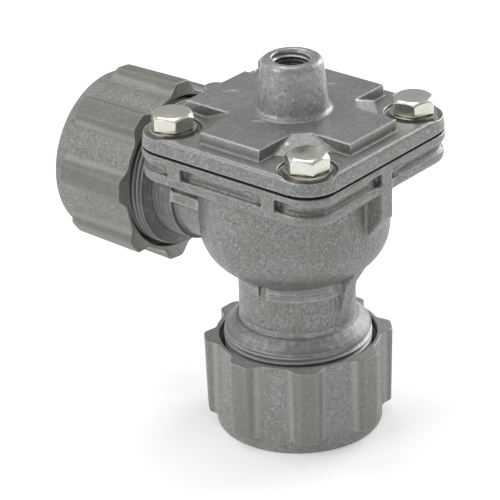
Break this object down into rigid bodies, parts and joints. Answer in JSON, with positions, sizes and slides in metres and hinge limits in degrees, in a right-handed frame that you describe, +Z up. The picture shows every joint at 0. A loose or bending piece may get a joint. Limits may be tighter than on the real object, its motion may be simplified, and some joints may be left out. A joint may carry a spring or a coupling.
{
  "type": "dust collector pulse valve",
  "caption": "Right-angle diaphragm pulse valve of cast aluminium with a square bolted cover, a pilot port on top and a ribbed union nut on each pipe port.",
  "frame": {"origin": "centre of the outlet nut's closed end, where the outlet pipe leaves", "axes": "+Z up along the outlet axis towards the cover, -X out along the inlet axis, the square cover in line with X and Y"},
  "size_m": [0.1209, 0.0772, 0.1321],
  "materials": {
    "cast_body": "matte",
    "cast_cover": "matte",
    "cast_nut": "matte",
    "plated_steel": "satin",
    "plain_steel": "satin",
    "spring_steel": "satin",
    "black_rubber": "matte"
  },
  "bodies": {
    "valve": {"valve_body": "cast_body", "cover": "cast_cover", "diaphragm": "black_rubber", "return_spring": "spring_steel", "bolt_front": "plated_steel", "bolt_right": "plated_steel", "bolt_back": "plated_steel", "bolt_left": "plated_steel", "washer_front": "plated_steel", "washer_right": "plated_steel", "washer_back": "plated_steel", "washer_left": "plated_steel", "outlet_seal": "black_rubber", "inlet_seal": "black_rubber"},
    "diaphragm_centre": {"seat_disc": "black_rubber", "backing_plate": "plain_steel", "centre_rivet": "plain_steel"},
    "outlet_nut_travel": {"outlet_slip_ring": "plain_steel"},
    "outlet_nut_turning": {"outlet_nut": "cast_nut"},
    "inlet_nut_travel": {"inlet_slip_ring": "plain_steel"},
    "inlet_nut_turning": {"inlet_nut": "cast_nut"}
  },
  "joints": [
    {"name": "diaphragm_lift", "type": "slide", "parent": "valve", "child": "diaphragm_centre", "axis": [0, 0, 1], "range_m": [0, 0.006], "stiffness_N_per_m": 1500, "springref_m": -0.004, "deforming": ["return_spring", "diaphragm"]},
    {"name": "outlet_nut_slide", "type": "slide", "parent": "valve", "child": "outlet_nut_travel", "axis": [0, 0, -1], "range_m": [0, 0.01]},
    {"name": "outlet_nut_turn", "type": "hinge", "parent": "outlet_nut_travel", "child": "outlet_nut_turning", "pos_m": [0, 0, 0], "axis": [0, 0, -1], "range_deg": [0, 1802]},
    {"name": "inlet_nut_slide", "type": "slide", "parent": "valve", "child": "inlet_nut_travel", "axis": [-1, 0, 0], "range_m": [0, 0.01]},
    {"name": "inlet_nut_turn", "type": "hinge", "parent": "inlet_nut_travel", "child": "inlet_nut_turning", "pos_m": [-0.0823, 0, 0.0781], "axis": [-1, 0, 0], "range_deg": [0, 1802]}
  ],
  "couplings": [
    {"joint": "outlet_nut_turn", "follows": "outlet_nut_slide", "rad_per_m": 3141.6},
    {"joint": "inlet_nut_turn", "follows": "inlet_nut_slide", "rad_per_m": 3141.6}
  ]
}
